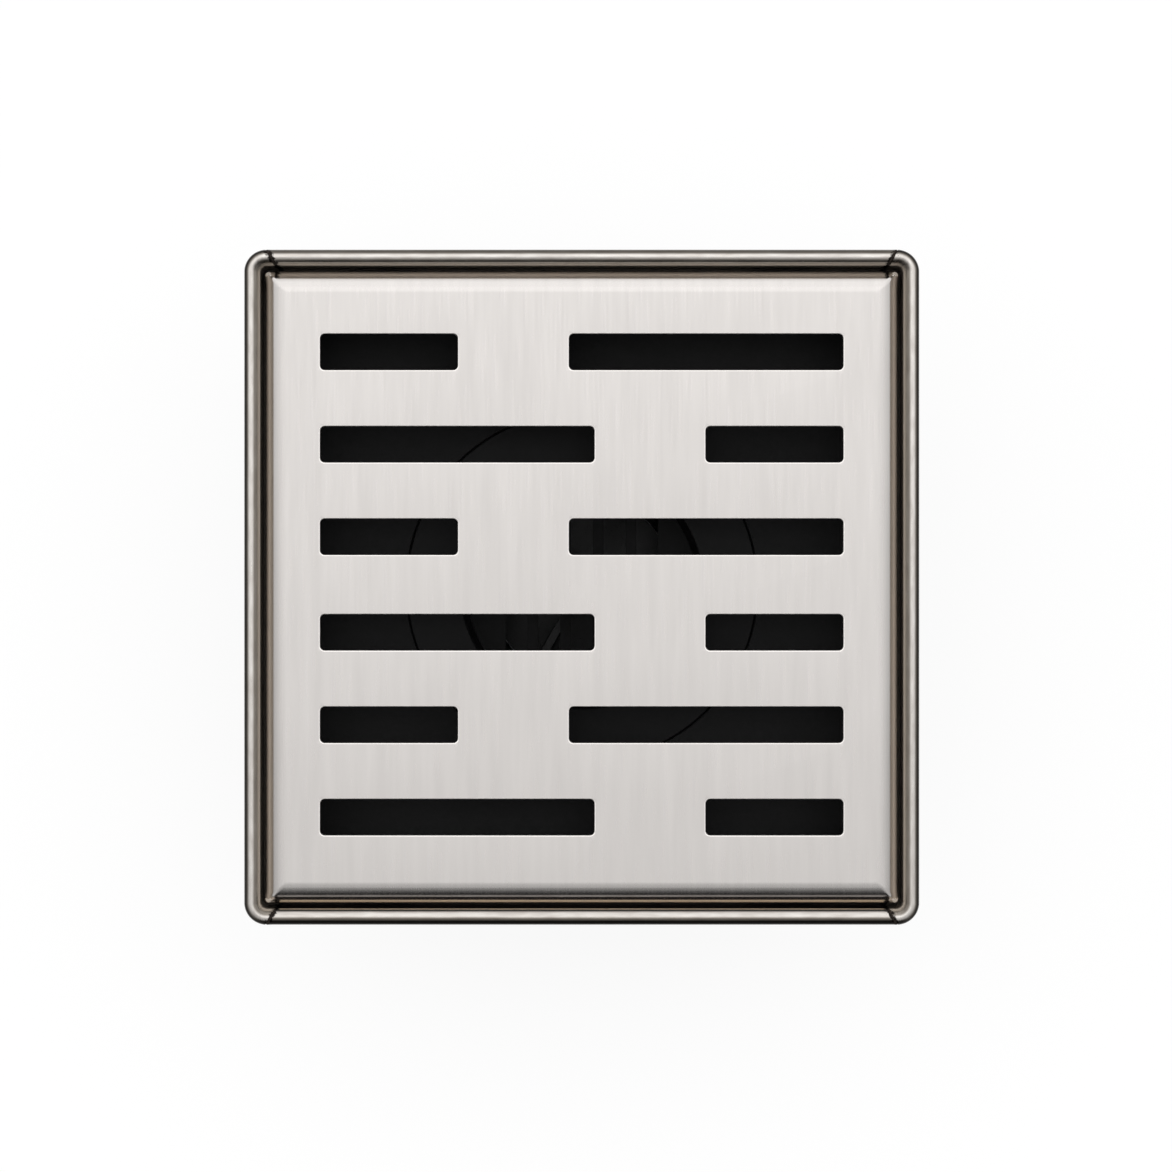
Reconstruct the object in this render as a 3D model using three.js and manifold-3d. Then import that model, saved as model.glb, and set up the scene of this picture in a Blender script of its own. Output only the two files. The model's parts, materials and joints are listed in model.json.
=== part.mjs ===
// Square stainless floor drain grate: a lift-out pressed grate in a hemmed frame, screwed to a moulded
// riser that holds a hair strainer and a spring-loaded odour stop.
// Millimetres, +Z up. z = 0 is the finished floor, which is also the top of the grate and of the rim.

import * as THREE from 'three';
import { mergeVertices } from 'three/addons/utils/BufferGeometryUtils.js';
import Module from 'manifold-3d';

const wasm = await Module();
wasm.setup();

// ---- Driving dimensions ------------------------------------------------------------------------

// Frame: one sheet folded over at the rim and bent inwards to a ledge.
const frameSize = 150;
const frameSheet = 1.2;
const rimWidth = 3.3;
const frameCorner = 5;
const hemDepth = 7;
const ledgeReach = 12;
const ledgeBend = 0.6;
const weldGap = 0.2;

// Grate: a pressed plate with its edges folded down.
const grateGap = 1.3;
const grateSheet = 1.5;
const grateBend = 5;
const grateDepth = 12.5;
const grateCorner = 1;

// Slots: in each row one long and one short slot, and the long one changes sides from row to row.
const slotWidth = 8;
const slotCorner = 1;
const shortSlot = 30.5;
const slotBridge = 24.7;
const slotMargin = 12.4;
const rowPitch = 20.5;
const middlePitch = 21.2;
const rowMargin = 14;
const fieldShift = 0.6;

// Rubber pads clipped on the folded edge of the grate.
const padLength = 14;
const padThickness = 1.5;
const padOuterLeg = 0.5;
const padInnerLeg = 2;
const padHeight = 6;
const padInset = 30;

// Screws that hold the frame's ledge down on the riser.
const screwDiameter = 3.9;
const screwHead = 7.4;
const screwLength = 12;
const screwSocket = 2.5;
const socketDepth = 1.3;
const screwInset = 25;
const screwPoint = 1;
const gasketThickness = 1;

// Riser: moulded tray with a spigot.
const riserFlange = 3;
const riserWall = 2.5;
const lipWall = 1.2;
const lipGap = 1.5;
const basinInset = 3;
const basinCorner = 6;
const basinDepth = 6.3;
const floorSlope = 0.047;
const spigotDiameter = 75;
const spigotWall = 3;
const spigotReserve = 3.2;
const gussetCount = 8;
const gussetDrop = 16;
const gussetToe = 1.5;
const gussetThickness = 2;
const bossDiameter = 8;
const bossFloor = 1.5;
const pilotReserve = 0.6;

// Lip seal near the end of the spigot.
const sealGroove = 1.5;
const sealHeight = 4;
const sealStandOff = 6;
const sealBand = 0.4;
const sealLip = 2;
const lipThickness = 0.4;
const lipRise = 1.1;

// Strainer: a slotted basket with a lifting knob. A bar across the middle halves each slot.
const strainerFlange = 2;
const strainerRest = 2.8;
const strainerWall = 1.6;
const strainerDepth = 11;
const strainerDraft = 1;
const strainerSlot = 5;
const strainerPitch = 7.5;
const strainerBar = 3;
const strainerEdge = 1.3;
const slotRounding = 1;
const knobDiameter = 11;
const knobNeck = 6.4;
const knobHead = 1.6;
const knobFlare = 1.5;

// Odour stop: a drop-in housing closed from below by a sprung plunger.
const trapFlange = 2;
const trapRest = 2.7;
const trapWall = 2;
const trapTaper = 8;
const seatLand = 5;
const seatDepth = 2;
const outletInset = 5.2;
const ringSection = 2.1;
const ringDrop = 7.35;
const hubDiameter = 10;
const hubHeight = 3;
const hubLift = 3.5;
const armCount = 3;
const plateThickness = 2;
const plateRise = 1;
const plateCone = 2.4;
const plungerTravel = 7;
const sealThickness = 1.6;
const stemDiameter = 4;
const springLength = 14;
const springDiameter = 8;
const springWire = 1;
const springTurns = 5;
const capDiameter = 13;
const capHeight = 2.3;
const capGrip = 1.5;
const capEdge = 0.6;

// Clearances.
const fitGap = 0.4;
const runGap = 0.3;
const threadGap = 0.15;
const guideGap = 0.7;
const squeezeGap = 0.12;
const restGap = 0.05;
const capClear = 1.7;
const basketGap = 1;
const throughCut = 1;

// Roundness of the curved surfaces.
const roundSides = 40;
const smallSides = 12;
const cornerSides = 32;
const capSides = 24;
const ringSides = 8;
const wireSides = 6;
const hexagonSides = 6;
const bendSteps = 6;
const slotSteps = 3;
const beadSteps = 10;
const insideSteps = 4;
const ledgeSteps = 3;
const weldTolerance = 1e-4;

// ---- Places that follow from them --------------------------------------------------------------

const frameHalf = frameSize / 2;
const cornerCentre = frameHalf - frameCorner;
const ledgeInner = frameHalf - ledgeReach;
const wallInner = frameHalf - rimWidth;
const wallOuter = wallInner + frameSheet;
const grateHalf = wallInner - grateGap;

const slotField = (grateHalf - slotMargin) * 2;
const longSlot = slotField - slotBridge - shortSlot;
const outerRows = Math.floor((grateHalf - rowMargin - slotWidth / 2 - middlePitch / 2) / rowPitch);
const slotRows = (outerRows + 1) * 2;

const ledgeTop = -(grateDepth + padThickness);
const gasketTop = ledgeTop - frameSheet;
const riserTop = gasketTop - gasketThickness;
const flangeBottom = riserTop - riserFlange;
const floorAtThroat = riserTop - basinDepth;

const spigotRadius = spigotDiameter / 2;
const spigotBore = spigotRadius - spigotWall;
const trapSeatRadius = spigotBore + trapRest;
const throatRadius = trapSeatRadius + strainerRest;
const strainerSeat = floorAtThroat - strainerFlange;
const trapSeat = strainerSeat - runGap - trapFlange;
const throatBottom = trapSeat - riserWall;

const riserHalf = wallOuter + runGap + lipWall;
const riserCorner = frameCorner - (frameHalf - riserHalf);
const basinHalf = ledgeInner - basinInset;
const screwOffset = (ledgeInner + wallInner) / 2;
const screwTip = ledgeTop - screwLength;

const trapTop = trapSeat + trapFlange;
const trapBody = spigotBore - squeezeGap - ringSection - squeezeGap;
const trapInner = trapBody - trapWall;
const strainerRadius = throatRadius - fitGap;
const basketRadius = trapInner - basketGap;
const basketBottom = floorAtThroat - strainerDepth;
const capTop = basketBottom - capClear;
const capBottom = capTop - capHeight;
const hubTop = capBottom - springLength;
const hubBottom = hubTop - hubHeight;
const trapOutlet = hubBottom - hubLift;
const outletRadius = trapBody - seatLand - outletInset;
const sealBottom = trapOutlet - sealThickness;
const plungerBottom = sealBottom - plateThickness;
const spigotEnd = plungerBottom - plungerTravel - spigotReserve;

// ---- Tools: plain shapes, closed solids, and cuts ----------------------------------------------

function toSolid(geometry) {
  const bare = geometry.clone();
  bare.deleteAttribute('normal');
  bare.deleteAttribute('uv');
  const merged = mergeVertices(bare, weldTolerance);
  return new wasm.Manifold(new wasm.Mesh({
    numProp: 3,
    vertProperties: merged.attributes.position.array,
    triVerts: merged.index.array,
  }));
}

function toGeometry(solid) {
  const mesh = solid.getMesh();
  const geometry = new THREE.BufferGeometry();
  geometry.setAttribute('position', new THREE.BufferAttribute(mesh.vertProperties, 3));
  geometry.setIndex(new THREE.BufferAttribute(mesh.triVerts, 1));
  geometry.computeVertexNormals();
  return geometry;
}

function outline(points) {
  return new THREE.Shape(points.map(([x, y]) => new THREE.Vector2(x, y)));
}

// A rectangle with round corners, centred on (x, y).
function roundedRectangle(width, height, radius, x = 0, y = 0) {
  const dx = width / 2 - radius;
  const dy = height / 2 - radius;
  const shape = new THREE.Shape();
  shape.absarc(x + dx, y + dy, radius, 0, Math.PI / 2);
  shape.absarc(x - dx, y + dy, radius, Math.PI / 2, Math.PI);
  shape.absarc(x - dx, y - dy, radius, Math.PI, Math.PI * 1.5);
  shape.absarc(x + dx, y - dy, radius, Math.PI * 1.5, Math.PI * 2);
  shape.closePath();
  return shape;
}

function roundedSquare(half, radius) {
  return roundedRectangle(half * 2, half * 2, radius);
}

// A plan shape raised from z = low to z = high.
function slab(shape, low, high, curveSegments = bendSteps) {
  const depth = high - low;
  const geometry = new THREE.ExtrudeGeometry(shape, { depth, curveSegments, bevelEnabled: false });
  geometry.translate(0, 0, low);
  return toSolid(geometry);
}

// A section in X and Z, run along Y from -length / 2 to length / 2.
function runAlongY(shape, length) {
  const geometry = new THREE.ExtrudeGeometry(shape, { depth: length, bevelEnabled: false });
  geometry.translate(0, 0, -length / 2);
  geometry.rotateX(Math.PI / 2);
  return toSolid(geometry);
}

// A profile of [radius, z] points turned about the Z axis.
function turned(points, sides = roundSides) {
  const profile = points.map(([r, z]) => new THREE.Vector2(r, z));
  if (THREE.ShapeUtils.isClockWise(profile)) {
    profile.reverse();
  }
  const geometry = new THREE.LatheGeometry(profile, sides);
  geometry.rotateX(Math.PI / 2);
  return toSolid(geometry);
}

// The same, for a ring whose profile closes on itself.
function turnedRing(points, sides = roundSides) {
  return turned([...points, points[0]], sides);
}

function disc(radius, low, high, sides = roundSides) {
  return turned([[0, low], [radius, low], [radius, high], [0, high]], sides);
}

function block(width, depth, height, x, y, z) {
  const geometry = new THREE.BoxGeometry(width, depth, height);
  geometry.translate(x, y, z);
  return toSolid(geometry);
}

function arcPoints(cx, cz, radius, from, to, steps) {
  const points = [];
  for (let i = 0; i <= steps; i += 1) {
    const angle = from + ((to - from) * i) / steps;
    points.push([cx + radius * Math.cos(angle), cz + radius * Math.sin(angle)]);
  }
  return points;
}

// ---- Materials ---------------------------------------------------------------------------------

function material(color, roughness, metalness) {
  return new THREE.MeshStandardMaterial({ color, roughness, metalness });
}

const brushedSteel = material(0xd6d2ce, 0.35, 1);
const polishedSteel = material(0xd0ccc8, 0.22, 1);
const screwSteel = material(0xb9b7b3, 0.3, 1);
const springSteel = material(0xa9a8a4, 0.3, 1);
const blackRubber = material(0x1d1c1b, 0.85, 0);
const blackPlastic = material(0x232323, 0.5, 0);
const greyPlastic = material(0x3a3b3c, 0.5, 0);
const clearSilicone = material(0xc9cac6, 0.6, 0);

const drain = new THREE.Group();

function addPiece(parent, name, solid, finish, x = 0, y = 0, z = 0) {
  const mesh = new THREE.Mesh(toGeometry(solid), finish);
  mesh.name = name;
  mesh.position.set(x, y, z);
  parent.add(mesh);
}

// ---- Frame -------------------------------------------------------------------------------------

// Section of the frame, with r measured outwards from the centre of the corner's round.
function frameSection(innerEnd) {
  const rimRadius = rimWidth / 2;
  const crest = frameCorner - rimRadius;
  const bendCentre = frameCorner - rimWidth - ledgeBend;
  return [
    [innerEnd, ledgeTop],
    ...arcPoints(bendCentre, ledgeTop + ledgeBend, ledgeBend, -Math.PI / 2, 0, ledgeSteps),
    ...arcPoints(crest, -rimRadius, rimRadius, Math.PI, 0, beadSteps),
    [frameCorner, -hemDepth],
    [frameCorner - frameSheet, -hemDepth],
    ...arcPoints(crest, -rimRadius, rimRadius - frameSheet, 0, Math.PI, insideSteps),
    ...arcPoints(bendCentre, ledgeTop + ledgeBend, ledgeBend + frameSheet, 0, -Math.PI / 2, insideSteps),
    [innerEnd, ledgeTop - frameSheet],
  ];
}

// Four straight runs and four quarter turns make the whole ring.
function frameRing() {
  const reach = frameCorner * 2;
  const quarter = slab(outline([[0, 0], [reach, 0], [reach, reach], [0, reach]]), ledgeTop * 2, frameSheet);
  const side = runAlongY(outline(frameSection(ledgeInner - cornerCentre)), cornerCentre * 2)
    .translate([cornerCentre, 0, 0]);
  const corner = turned(frameSection(0), cornerSides)
    .intersect(quarter)
    .translate([cornerCentre, cornerCentre, 0]);
  let ring = side.add(corner);
  for (const angle of [90, 180, 270]) {
    ring = ring.add(side.rotate([0, 0, angle])).add(corner.rotate([0, 0, angle]));
  }
  return ring;
}

// What lies between the two welded seams of the front rail. Each seam runs from the start of the
// corner's round to the inner corner of the ledge.
function betweenSeams(spread) {
  const slope = (cornerCentre - ledgeInner) / (frameHalf - ledgeInner);
  const seamAt = (y) => ledgeInner + slope * (y - ledgeInner) + spread;
  const near = frameHalf + frameSheet;
  const far = ledgeInner - ledgeReach / 2;
  const plan = outline([
    [-seamAt(near), -near],
    [seamAt(near), -near],
    [seamAt(far), -far],
    [-seamAt(far), -far],
  ]);
  return slab(plan, ledgeTop * 2, frameSheet);
}

function countersink() {
  const head = screwHead / 2 + threadGap;
  const hole = screwDiameter / 2 + runGap;
  const below = gasketTop - (head - hole);
  return turned([
    [0, below],
    [hole, below],
    [hole, ledgeTop - (head - hole)],
    [head, ledgeTop],
    [head, ledgeTop + throughCut],
    [0, ledgeTop + throughCut],
  ], smallSides);
}

function screwPlaces() {
  const places = [];
  const along = frameHalf - screwInset;
  for (const x of [-screwOffset, screwOffset]) {
    for (const y of [-along, along]) {
      places.push([x, y]);
    }
  }
  return places;
}

function addFrame(parent) {
  const ring = frameRing();
  const frontRail = ring.intersect(betweenSeams(-weldGap / 2));
  const cut = betweenSeams(weldGap / 2);
  let sides = ring.subtract(cut).subtract(cut.rotate([0, 0, 180]));
  for (const [x, y] of screwPlaces()) {
    sides = sides.subtract(countersink().translate([x, y, 0]));
  }
  const rightHalf = block(frameSize, frameSize * 2, frameSize, frameSize / 2, 0, 0);
  addPiece(parent, 'frame_rail_front', frontRail, polishedSteel);
  addPiece(parent, 'frame_rail_back', frontRail.rotate([0, 0, 180]), polishedSteel);
  addPiece(parent, 'frame_rail_right', sides.intersect(rightHalf), polishedSteel);
  addPiece(parent, 'frame_rail_left', sides.subtract(rightHalf), polishedSteel);
}

// ---- Grate -------------------------------------------------------------------------------------

// A plate with both long edges bent down, as a solid vault: two of them, crossed, make the pressing.
function vault(half, bend, top, bottom) {
  const section = outline([
    [half, bottom],
    ...arcPoints(half - bend, top - bend, bend, 0, Math.PI / 2, bendSteps),
    ...arcPoints(bend - half, top - bend, bend, Math.PI / 2, Math.PI, bendSteps),
    [-half, bottom],
  ]);
  const along = runAlongY(section, (half + throughCut) * 2);
  return along.intersect(along.rotate([0, 0, 90]));
}

// The middle pitch differs from the others, and the odd rows have their short slot on the left.
function slotPlans() {
  const plans = [];
  for (let row = 0; row < slotRows; row += 1) {
    const fromMiddle = row - (slotRows - 1) / 2;
    const rowDistance = middlePitch / 2 + (Math.abs(fromMiddle) - 0.5) * rowPitch;
    const y = fieldShift - Math.sign(fromMiddle) * rowDistance;
    const [left, right] = row % 2 === 0 ? [shortSlot, longSlot] : [longSlot, shortSlot];
    plans.push(roundedRectangle(left, slotWidth, slotCorner, (left - slotField) / 2, y));
    plans.push(roundedRectangle(right, slotWidth, slotCorner, (slotField - right) / 2, y));
  }
  return plans;
}

function gratePlate() {
  const outer = vault(grateHalf, grateBend, 0, -grateDepth);
  const inner = vault(grateHalf - grateSheet, grateBend - grateSheet, -grateSheet, -grateDepth - throughCut);
  const trim = slab(roundedSquare(grateHalf, grateCorner), -grateDepth * 2, throughCut);
  let plate = outer.subtract(inner).intersect(trim);
  for (const plan of slotPlans()) {
    plate = plate.subtract(slab(plan, -grateSheet * 2, throughCut, slotSteps));
  }
  return plate;
}

// Section of a pad in Y and Z: a channel that grips the folded edge from below.
function gratePad(side) {
  const outerFace = grateHalf + padOuterLeg;
  const innerFace = grateHalf - grateSheet - padInnerLeg;
  const width = outerFace - innerFace;
  const middle = side * (outerFace + innerFace) / 2;
  const body = block(padLength, width, padHeight, 0, middle, ledgeTop + padHeight / 2);
  const flange = side * (grateHalf - grateSheet / 2);
  const grip = block(padLength * 2, grateSheet, padHeight, 0, flange, padHeight / 2 - grateDepth);
  return body.subtract(grip);
}

function addGrate(parent) {
  addPiece(parent, 'grate_plate', gratePlate(), brushedSteel);
  let count = 0;
  for (const side of [-1, 1]) {
    for (const x of [padInset - frameHalf, frameHalf - padInset]) {
      count += 1;
      addPiece(parent, `grate_pad_${count}`, gratePad(side), blackRubber, x);
    }
  }
}

// ---- Gasket and screws -------------------------------------------------------------------------

function frameGasket() {
  const low = riserTop + restGap;
  const high = gasketTop - restGap;
  const holeRadius = screwHead / 2 - fitGap;
  const outer = slab(roundedSquare(wallOuter - ledgeBend, riserCorner), low, high);
  const inner = slab(roundedSquare(ledgeInner + ledgeBend, riserCorner), low - throughCut, high + throughCut);
  const hole = disc(holeRadius, low - throughCut, high + throughCut, smallSides);
  let gasket = outer.subtract(inner);
  for (const [x, y] of screwPlaces()) {
    gasket = gasket.subtract(hole.translate([x, y, 0]));
  }
  return gasket;
}

// A countersunk screw with a hexagon socket, its head flush with the ledge.
function frameScrew() {
  const head = screwHead / 2;
  const shank = screwDiameter / 2;
  const body = turned([
    [0, -screwLength],
    [shank - screwPoint, -screwLength],
    [shank, screwPoint - screwLength],
    [shank, shank - head],
    [head, 0],
    [0, 0],
  ], smallSides);
  return body.subtract(disc(screwSocket / Math.sqrt(3), -socketDepth, throughCut, hexagonSides));
}

function addFasteners(parent) {
  addPiece(parent, 'frame_gasket', frameGasket(), blackRubber);
  screwPlaces().forEach(([x, y], index) => {
    addPiece(parent, `frame_screw_${index + 1}`, frameScrew(), screwSteel, x, y, ledgeTop);
  });
}

// ---- Riser -------------------------------------------------------------------------------------

// The tray's floor falls towards the throat on a shallow cone.
function aboveFloor(drop) {
  const reach = frameSize;
  const level = floorAtThroat - drop;
  return turned([
    [0, level],
    [throatRadius, level],
    [reach, level + (reach - throatRadius) * floorSlope],
    [reach, 0],
    [0, 0],
  ]);
}

function gusset() {
  const top = floorAtThroat - riserWall / 2;
  const root = (spigotRadius + spigotBore) / 2;
  const section = outline([
    [root, top],
    [basinHalf, top],
    [basinHalf, top - gussetToe],
    [spigotRadius, top - gussetDrop],
    [root, top - gussetDrop],
  ]);
  return runAlongY(section, gussetThickness);
}

// The ring cut that the spigot's lip seal lies in.
function sealCut() {
  const low = spigotEnd + sealStandOff;
  const root = spigotRadius - sealGroove;
  const outer = spigotRadius + throughCut;
  return turnedRing([[root, low], [outer, low], [outer, low + sealHeight], [root, low + sealHeight]]);
}

function riser() {
  const flange = slab(roundedSquare(riserHalf, riserCorner), flangeBottom, riserTop);
  const lipInner = slab(roundedSquare(riserHalf - lipWall, riserCorner - lipWall), riserTop, 0);
  const lipOuter = slab(roundedSquare(riserHalf, riserCorner), flangeBottom, -hemDepth - lipGap);
  const tub = slab(roundedSquare(basinHalf + riserWall, basinCorner + riserWall), throatBottom, riserTop)
    .intersect(aboveFloor(riserWall));
  const throat = disc(throatRadius + spigotWall, throatBottom, floorAtThroat);
  const spigot = disc(spigotRadius, spigotEnd, floorAtThroat);
  let body = flange.add(lipOuter.subtract(lipInner)).add(tub).add(throat).add(spigot);
  for (let i = 0; i < gussetCount; i += 1) {
    body = body.add(gusset().rotate([0, 0, (360 * (i + 0.5)) / gussetCount]));
  }
  const pilotBottom = screwTip - pilotReserve;
  const boss = disc(bossDiameter / 2, pilotBottom - bossFloor, riserTop, smallSides);
  const pilot = disc(screwDiameter / 2 + threadGap, pilotBottom, 0, smallSides);
  for (const [x, y] of screwPlaces()) {
    body = body.add(boss.translate([x, y, 0])).subtract(pilot.translate([x, y, 0]));
  }
  const basin = slab(roundedSquare(basinHalf, basinCorner), throatBottom, 0).intersect(aboveFloor(0));
  return body
    .subtract(basin)
    .subtract(disc(throatRadius, strainerSeat, 0))
    .subtract(disc(trapSeatRadius, trapSeat, 0))
    .subtract(disc(spigotBore, spigotEnd - throughCut, 0))
    .subtract(sealCut());
}

// Two soft lips on a band that lies in the spigot's groove.
function spigotSeal() {
  const low = spigotEnd + sealStandOff + squeezeGap;
  const high = spigotEnd + sealStandOff + sealHeight - squeezeGap;
  const root = spigotRadius - sealGroove + squeezeGap;
  const band = spigotRadius + sealBand;
  const edge = spigotRadius + sealLip;
  const lipSection = (z) => [
    [band, z],
    [edge, z + lipRise],
    [edge, z + lipRise + lipThickness],
    [band, z + lipRise + lipThickness / 2],
  ];
  return turnedRing([
    [root, low],
    ...lipSection(low),
    ...lipSection((low + high) / 2),
    [band, high],
    [root, high],
  ]);
}

// ---- Strainer ----------------------------------------------------------------------------------

function strainerBasket() {
  const top = floorAtThroat;
  const inside = basketRadius - strainerWall;
  const floorRadius = inside - strainerDraft;
  const floor = basketBottom + strainerWall;
  const knob = knobDiameter / 2;
  const neck = knobNeck / 2;
  let basket = turned([
    [0, basketBottom],
    [basketRadius - strainerDraft, basketBottom],
    [basketRadius, strainerSeat],
    [strainerRadius, strainerSeat],
    [strainerRadius, top],
    [inside, top],
    [floorRadius, floor],
    [neck + knobFlare, floor],
    [neck, floor + knobFlare],
    [neck, top - knobHead * 2],
    [knob, top - knobHead],
    [knob, top],
    [0, top],
  ]);
  const reach = floorRadius - strainerEdge;
  const rows = Math.floor((reach - strainerSlot / 2) / strainerPitch);
  for (let row = -rows; row <= rows; row += 1) {
    const x = row * strainerPitch;
    const end = Math.sqrt(reach ** 2 - (Math.abs(x) + strainerSlot / 2) ** 2);
    const start = row === 0 ? neck + knobFlare + strainerEdge : strainerBar / 2;
    if (end - start > strainerSlot) {
      const y = (start + end) / 2;
      for (const side of [-y, y]) {
        const plan = roundedRectangle(strainerSlot, end - start, slotRounding, x, side);
        basket = basket.subtract(slab(plan, basketBottom - throughCut, floor + throughCut));
      }
    }
  }
  return basket;
}

// ---- Odour stop --------------------------------------------------------------------------------

function trapHousing() {
  const rib = spigotBore - guideGap;
  const grooveHigh = trapTop - ringDrop + ringSection / 2 + squeezeGap;
  const grooveLow = trapTop - ringDrop - ringSection / 2 - squeezeGap;
  const shoulder = trapOutlet + trapTaper;
  const seatRadius = outletRadius + seatLand;
  let housing = turnedRing([
    [trapInner, trapTop],
    [trapSeatRadius - fitGap, trapTop],
    [trapSeatRadius - fitGap, trapSeat],
    [rib, trapSeat],
    [rib, grooveHigh],
    [trapBody, grooveHigh],
    [trapBody, grooveLow],
    [rib, grooveLow],
    [rib, grooveLow - trapWall],
    [trapBody, grooveLow - trapWall],
    [trapBody, shoulder],
    [seatRadius, trapOutlet + seatDepth],
    [seatRadius, trapOutlet],
    [outletRadius, trapOutlet],
    [outletRadius, trapOutlet + seatDepth],
    [trapInner, shoulder + trapWall / 2],
  ]);
  for (let i = 0; i < armCount; i += 1) {
    const arm = block(seatRadius, trapWall, hubHeight, seatRadius / 2, 0, (hubBottom + hubTop) / 2);
    housing = housing.add(arm.rotate([0, 0, (360 * i) / armCount]));
  }
  return housing
    .add(disc(hubDiameter / 2, hubBottom, hubTop, smallSides))
    .subtract(disc(stemDiameter / 2 + runGap, hubBottom - throughCut, hubTop + throughCut, smallSides));
}

function trapRing() {
  const section = ringSection / 2;
  const centre = spigotBore - squeezeGap - section;
  return turnedRing(arcPoints(centre, trapTop - ringDrop, section, 0, Math.PI * 2, ringSides).slice(1));
}

// A plate below the outlet, a cone that sheds water, and the stem that runs in the hub.
function trapPlunger() {
  const rim = outletRadius + seatLand - fitGap;
  const boss = outletRadius - fitGap;
  const stem = stemDiameter / 2;
  const stemTop = capTop - capGrip / 2 - runGap;
  return turned([
    [0, plungerBottom],
    [rim, plungerBottom],
    [rim, sealBottom],
    [boss, sealBottom],
    [boss, sealBottom + plateRise],
    [stem, sealBottom + plateRise + plateCone],
    [stem, stemTop],
    [0, stemTop],
  ]);
}

function plungerSeal() {
  const inner = outletRadius - fitGap / 2;
  const outer = outletRadius + seatLand - fitGap * 2;
  return turnedRing([[inner, sealBottom], [outer, sealBottom], [outer, trapOutlet], [inner, trapOutlet]]);
}

function stemCap() {
  const bore = stemDiameter / 2 + threadGap;
  const ceiling = capTop - capGrip / 2;
  const rim = capDiameter / 2;
  return turned([
    [0, ceiling],
    [bore, ceiling],
    [bore, capBottom],
    [rim, capBottom],
    [rim, capTop - capEdge],
    [rim - capEdge, capTop],
    [0, capTop],
  ], capSides);
}

class Coil extends THREE.Curve {
  getPoint(t, target = new THREE.Vector3()) {
    const angle = t * springTurns * Math.PI * 2;
    const clear = springWire / 2 + squeezeGap;
    const z = hubTop + clear + t * (springLength - clear * 2);
    const radius = (springDiameter - springWire) / 2;
    return target.set(radius * Math.cos(angle), radius * Math.sin(angle), z);
  }
}

function trapSpring() {
  const wire = outline(arcPoints(0, 0, springWire / 2, 0, Math.PI * 2, wireSides).slice(1));
  return toSolid(new THREE.ExtrudeGeometry(wire, {
    steps: springTurns * smallSides,
    bevelEnabled: false,
    extrudePath: new Coil(),
  }));
}

function addTrap(parent) {
  addPiece(parent, 'trap_housing', trapHousing(), greyPlastic);
  addPiece(parent, 'trap_ring', trapRing(), blackRubber);
  addPiece(parent, 'trap_plunger', trapPlunger(), greyPlastic);
  addPiece(parent, 'plunger_seal', plungerSeal(), clearSilicone);
  addPiece(parent, 'stem_cap', stemCap(), greyPlastic);
  addPiece(parent, 'trap_spring', trapSpring(), springSteel);
}

// ---- Assembly ----------------------------------------------------------------------------------

addGrate(drain);
addFrame(drain);
addFasteners(drain);
addPiece(drain, 'riser', riser(), blackPlastic);
addPiece(drain, 'spigot_seal', spigotSeal(), blackRubber);
addPiece(drain, 'strainer_basket', strainerBasket(), blackPlastic);
addTrap(drain);

export default drain;
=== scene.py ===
import json
import math
import random

import bmesh
import bpy
from bpy.props import FloatProperty, FloatVectorProperty, IntProperty, PointerProperty
from mathutils import Matrix, Vector


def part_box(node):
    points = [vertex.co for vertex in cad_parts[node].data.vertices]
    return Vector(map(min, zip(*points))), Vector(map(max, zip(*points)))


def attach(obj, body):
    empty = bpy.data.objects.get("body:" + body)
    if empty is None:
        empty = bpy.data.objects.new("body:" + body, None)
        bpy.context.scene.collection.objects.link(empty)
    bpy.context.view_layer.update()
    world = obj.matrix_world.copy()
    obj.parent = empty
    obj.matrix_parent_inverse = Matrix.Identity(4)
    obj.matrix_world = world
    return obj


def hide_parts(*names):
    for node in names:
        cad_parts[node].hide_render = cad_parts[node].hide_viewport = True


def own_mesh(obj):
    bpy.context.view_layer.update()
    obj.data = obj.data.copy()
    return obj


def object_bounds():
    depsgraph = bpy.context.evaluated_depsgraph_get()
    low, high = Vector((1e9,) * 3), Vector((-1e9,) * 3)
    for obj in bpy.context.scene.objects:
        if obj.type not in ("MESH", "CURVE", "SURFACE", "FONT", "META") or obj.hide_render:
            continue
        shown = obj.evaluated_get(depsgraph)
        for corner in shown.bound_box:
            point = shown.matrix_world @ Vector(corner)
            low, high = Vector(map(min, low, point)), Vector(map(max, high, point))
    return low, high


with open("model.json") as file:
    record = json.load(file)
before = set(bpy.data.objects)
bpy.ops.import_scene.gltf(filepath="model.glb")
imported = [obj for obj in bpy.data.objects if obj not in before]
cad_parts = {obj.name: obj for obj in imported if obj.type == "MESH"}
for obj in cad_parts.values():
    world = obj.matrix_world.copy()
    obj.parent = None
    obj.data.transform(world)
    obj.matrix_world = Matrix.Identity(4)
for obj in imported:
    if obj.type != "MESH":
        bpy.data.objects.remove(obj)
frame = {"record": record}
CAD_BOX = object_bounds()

bl_info = {
    "name": "Floor drain grate",
    "version": (1, 0, 0),
    "blender": (4, 5, 0),
    "location": "3D View > Sidebar > Drain",
    "description": "Builds the visible pieces of a square floor drain on its packed frame",
    "category": "Add Mesh",
}

# Shapes are worked out in millimetres and scaled once, when a piece is finished.
MM = 0.001
OPENINGS = {o["name"]: o["box_m"] for o in frame["record"]["physics"]["openings"]}


def linear(code):
    """An sRGB hex colour as linear red, green and blue."""
    shares = [int(code[i : i + 2], 16) / 255 for i in (1, 3, 5)]
    return tuple(s / 12.92 if s <= 0.04045 else ((s + 0.055) / 1.055) ** 2.4 for s in shares)


def box_mm(node):
    """The lowest and highest corner of a CAD node, in millimetres."""
    low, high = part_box(node)
    return low / MM, high / MM


# The rim's outer face, and where the corner's round and the ledge's inner edge lie inside it.
RIM = box_mm("frame_rail_right")[1].x
ROUND = 5
LEDGE = 12

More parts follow.
